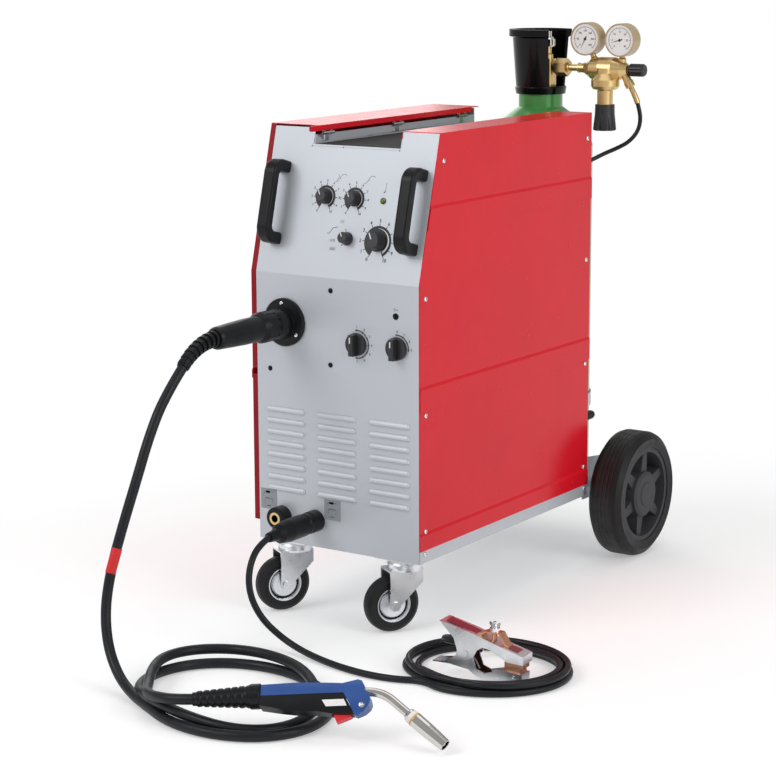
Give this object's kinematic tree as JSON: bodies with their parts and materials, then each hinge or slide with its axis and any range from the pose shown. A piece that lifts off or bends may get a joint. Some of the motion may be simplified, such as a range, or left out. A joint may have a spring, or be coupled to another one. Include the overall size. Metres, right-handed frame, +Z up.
{
  "type": "mig welder on cart",
  "caption": "Wheeled sheet-metal MIG welding machine with folded front, side feeder door, gas cylinder and regulator, torch and earth clamp on their leads.",
  "frame": {"origin": "middle of the footprint of the machine with its torch and clamp, on the floor", "axes": "+Z up, +Y from the control front to the gas cylinder, +X to the machine's right"},
  "size_m": [0.762, 1.41, 1.0267],
  "materials": {
    "front_grey": "satin powder coat",
    "chassis_grey": "satin powder coat",
    "channel_grey": "satin",
    "red_paint": "gloss powder coat",
    "black_plastic": "fine grain",
    "knob_black": "satin",
    "switch_grey": "matt",
    "cable_black": "satin rubber",
    "blue_plastic": "satin",
    "red_plastic": "gloss",
    "brass": "turned",
    "copper": "cast",
    "chrome": "polished",
    "zinc": "zinc plated",
    "cylinder_green": "gloss",
    "tyre_rubber": "moulded",
    "wheel_grey": "moulded",
    "steel": "rolled",
    "core_steel": "varnished laminations",
    "wire_steel": "coppered wire",
    "gauge_metal": "satin"
  },
  "bodies": {
    "machine": {"base_tray": "chassis_grey", "front_panel": "front_grey", "rear_panel": "chassis_grey", "right_upper_panel": "red_paint", "right_middle_panel": "red_paint", "right_lower_panel": "red_paint", "left_lower_panel": "red_paint", "top_channel": "channel_grey", "feeder_bay": "chassis_grey", "front_handles": "black_plastic", "control_units": "switch_grey", "torch_socket": "black_plastic", "torch_plug": "black_plastic", "torch_cable_coil": "cable_black", "torch_cable": "cable_black", "torch_cable_end": "cable_black", "earth_sockets": "black_plastic", "earth_plug": "black_plastic", "earth_cable_coil": "cable_black", "earth_cable": "cable_black", "earth_cable_end": "cable_black", "clamp_lower_arm": "zinc", "clamp_lower_contact": "copper", "torch_rear_boot": "black_plastic", "torch_grip": "black_plastic", "torch_top_shell": "blue_plastic", "torch_neck": "chrome", "torch_nozzle": "chrome", "rear_platform": "chassis_grey", "caster_plates": "zinc", "gas_cylinder": "cylinder_green", "cylinder_cap": "black_plastic", "cylinder_valve": "brass", "regulator_body": "brass", "pressure_gauges": "gauge_metal", "gas_hose": "cable_black", "rear_fittings": "black_plastic", "cylinder_strap": "steel", "feeder_unit": "steel", "transformer": "core_steel"},
    "feeder_door": {"feeder_door": "red_paint"},
    "spot_time_knob": {"spot_time_knob": "knob_black"},
    "soft_start_knob": {"soft_start_knob": "knob_black"},
    "mode_knob": {"mode_knob": "knob_black"},
    "wire_speed_knob": {"wire_speed_knob": "knob_black"},
    "coarse_step_knob": {"coarse_step_knob": "knob_black"},
    "fine_step_knob": {"fine_step_knob": "knob_black"},
    "torch_trigger": {"torch_trigger": "red_plastic"},
    "clamp_jaw": {"clamp_upper_arm": "zinc", "clamp_upper_contacts": "copper"},
    "rear_wheel_left": {"rear_wheel_left": "wheel_grey"},
    "rear_wheel_right": {"rear_wheel_right": "wheel_grey"},
    "caster_fork_left": {"caster_fork_left": "zinc"},
    "caster_fork_right": {"caster_fork_right": "zinc"},
    "caster_wheel_left": {"caster_wheel_left": "tyre_rubber"},
    "caster_wheel_right": {"caster_wheel_right": "tyre_rubber"},
    "valve_handwheel": {"valve_handwheel": "chrome"},
    "regulator_knob": {"regulator_knob": "knob_black"},
    "outlet_knob": {"outlet_knob": "knob_black"},
    "wire_spool": {"wire_spool": "wire_steel"}
  },
  "joints": [
    {"name": "feeder_door_hinge", "type": "hinge", "parent": "machine", "child": "feeder_door", "pos_m": [-0.20898, 0.18266, 0.8535], "axis": [0, 1, 0], "range_deg": [0, 100]},
    {"name": "spot_time_turn", "type": "hinge", "parent": "machine", "child": "spot_time_knob", "pos_m": [-0.17298, -0.08224, 0.7485], "axis": [0, 0.9676, -0.2525], "range_deg": [-90, 210]},
    {"name": "soft_start_turn", "type": "hinge", "parent": "machine", "child": "soft_start_knob", "pos_m": [-0.11248, -0.08237, 0.74801], "axis": [0, 0.9676, -0.2525], "range_deg": [-90, 210]},
    {"name": "mode_turn", "type": "hinge", "parent": "machine", "child": "mode_knob", "pos_m": [-0.11598, -0.09966, 0.68173], "axis": [0, 0.9676, -0.2525], "range_deg": [-60, 60]},
    {"name": "wire_speed_turn", "type": "hinge", "parent": "machine", "child": "wire_speed_knob", "pos_m": [-0.05298, -0.09991, 0.68076], "axis": [0, 0.9676, -0.2525], "range_deg": [-90, 210]},
    {"name": "coarse_step_turn", "type": "hinge", "parent": "machine", "child": "coarse_step_knob", "pos_m": [-0.08518, -0.11733, 0.5042], "axis": [0, 1, 0], "range_deg": [0, 180]},
    {"name": "fine_step_turn", "type": "hinge", "parent": "machine", "child": "fine_step_knob", "pos_m": [-0.00258, -0.11733, 0.5046], "axis": [0, 1, 0], "range_deg": [0, 90]},
    {"name": "trigger_press", "type": "hinge", "parent": "machine", "child": "torch_trigger", "pos_m": [0.22477, -0.59537, 0.04736], "axis": [-0.3025, 0.7276, -0.6157], "range_deg": [0, 4], "stiffness_Nm_per_rad": 0.5},
    {"name": "clamp_open", "type": "hinge", "parent": "machine", "child": "clamp_jaw", "pos_m": [0.22302, -0.24733, 0.047], "axis": [0.07, -0.9975, 0], "range_deg": [0, 25], "stiffness_Nm_per_rad": 2},
    {"name": "rear_wheel_left_spin", "type": "hinge", "parent": "machine", "child": "rear_wheel_left", "pos_m": [-0.34598, 0.57366, 0.122], "axis": [1, 0, 0], "continuous": true},
    {"name": "rear_wheel_right_spin", "type": "hinge", "parent": "machine", "child": "rear_wheel_right", "pos_m": [0.08602, 0.57366, 0.122], "axis": [1, 0, 0], "continuous": true},
    {"name": "caster_left_swivel", "type": "hinge", "parent": "machine", "child": "caster_fork_left", "pos_m": [-0.24748, -0.08134, 0.115], "axis": [0, 0, 1], "continuous": true},
    {"name": "caster_right_swivel", "type": "hinge", "parent": "machine", "child": "caster_fork_right", "pos_m": [-0.01248, -0.08134, 0.115], "axis": [0, 0, 1], "continuous": true},
    {"name": "caster_left_spin", "type": "hinge", "parent": "caster_fork_left", "child": "caster_wheel_left", "pos_m": [-0.26153, -0.10321, 0.05], "axis": [0.8415, -0.5402, 0], "continuous": true},
    {"name": "caster_right_spin", "type": "hinge", "parent": "caster_fork_right", "child": "caster_wheel_right", "pos_m": [-0.02653, -0.10321, 0.05], "axis": [0.8415, -0.5402, 0], "continuous": true},
    {"name": "valve_turn", "type": "hinge", "parent": "machine", "child": "valve_handwheel", "pos_m": [-0.11398, 0.57966, 0.99], "axis": [0, 0, 1], "range_deg": [-360, 360]},
    {"name": "regulator_turn", "type": "hinge", "parent": "machine", "child": "regulator_knob", "pos_m": [0.01902, 0.56566, 0.85], "axis": [0, 0, 1], "range_deg": [-720, 360]},
    {"name": "outlet_turn", "type": "hinge", "parent": "machine", "child": "outlet_knob", "pos_m": [0.08002, 0.57966, 0.939], "axis": [1, 0, 0], "range_deg": [-360, 360]},
    {"name": "spool_spin", "type": "hinge", "parent": "machine", "child": "wire_spool", "pos_m": [-0.23398, 0.28266, 0.625], "axis": [1, 0, 0], "continuous": true}
  ]
}
